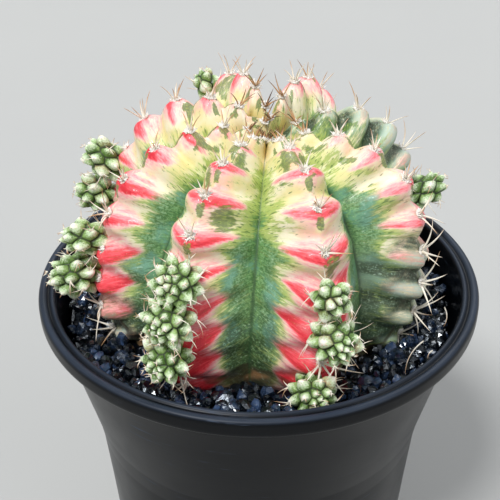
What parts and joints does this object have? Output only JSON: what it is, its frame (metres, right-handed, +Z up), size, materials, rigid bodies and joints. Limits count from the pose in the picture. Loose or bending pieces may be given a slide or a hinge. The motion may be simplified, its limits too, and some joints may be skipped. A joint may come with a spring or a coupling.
{
  "type": "potted round cactus",
  "caption": "Round ribbed cactus with spiny areoles and small globe offsets, growing in potting mix under gravel in a round tapered plastic nursery pot.",
  "frame": {"origin": "centre of the pot's foot, on the surface that the pot stands on", "axes": "+Z up; -Y is the plant's front, the side with the three stacked offsets on its left rib; +X to the right as seen from the front"},
  "size_m": [0.11, 0.11, 0.147],
  "materials": {
    "pot_plastic": "black injection-moulded plastic with a soft satin sheen and a few fine scuffs",
    "potting_mix": "dark, crumbly and matt",
    "gravel": "black angular grains, glossy as if wet",
    "flesh": "waxy skin, blue-green in the furrows, cream and coral red towards the ribs, with pale flecks",
    "offset_flesh": "waxy skin, bright green tubercles with cream tips",
    "spine": "dry and horny, cream with tan to brown tips, on a white woolly pad"
  },
  "bodies": {
    "root": {"pot": "pot_plastic", "potting_mix": "potting_mix", "gravel_top_dressing": "gravel", "cactus_body": "flesh", "offset_front_left_upper": "offset_flesh", "offset_front_left_middle": "offset_flesh", "offset_front_left_lower": "offset_flesh", "offset_front_right_upper": "offset_flesh", "offset_front_right_lower": "offset_flesh", "offset_front_right_base": "offset_flesh", "offset_left_upper": "offset_flesh", "offset_left_lower": "offset_flesh", "offset_back_left_upper": "offset_flesh", "offset_back_left_lower": "offset_flesh", "offset_back_right": "offset_flesh", "offset_rear_left": "offset_flesh", "spines_front_left_2": "spine", "spines_front_left_3": "spine", "spines_front_left_4": "spine", "spines_front_left_5": "spine", "spines_front_right_2": "spine", "spines_front_right_3": "spine", "spines_front_right_4": "spine", "spines_front_right_5": "spine", "spines_right_2": "spine", "spines_right_3": "spine", "spines_right_4": "spine", "spines_right_5": "spine", "spines_right_6": "spine", "spines_right_7": "spine", "spines_back_right_2": "spine", "spines_back_right_3": "spine", "spines_back_right_4": "spine", "spines_back_right_5": "spine", "spines_back_right_7": "spine", "spines_rear_right_2": "spine", "spines_rear_right_3": "spine", "spines_rear_right_4": "spine", "spines_rear_right_5": "spine", "spines_rear_right_6": "spine", "spines_rear_right_7": "spine", "spines_rear_left_2": "spine", "spines_rear_left_3": "spine", "spines_rear_left_5": "spine", "spines_rear_left_6": "spine", "spines_rear_left_7": "spine", "spines_back_left_2": "spine", "spines_back_left_3": "spine", "spines_back_left_4": "spine", "spines_back_left_7": "spine", "spines_left_2": "spine", "spines_left_3": "spine", "spines_left_4": "spine", "spines_left_5": "spine", "loose_spine_long": "spine", "loose_spine_side": "spine", "loose_spine_short": "spine"}
  },
  "joints": []
}
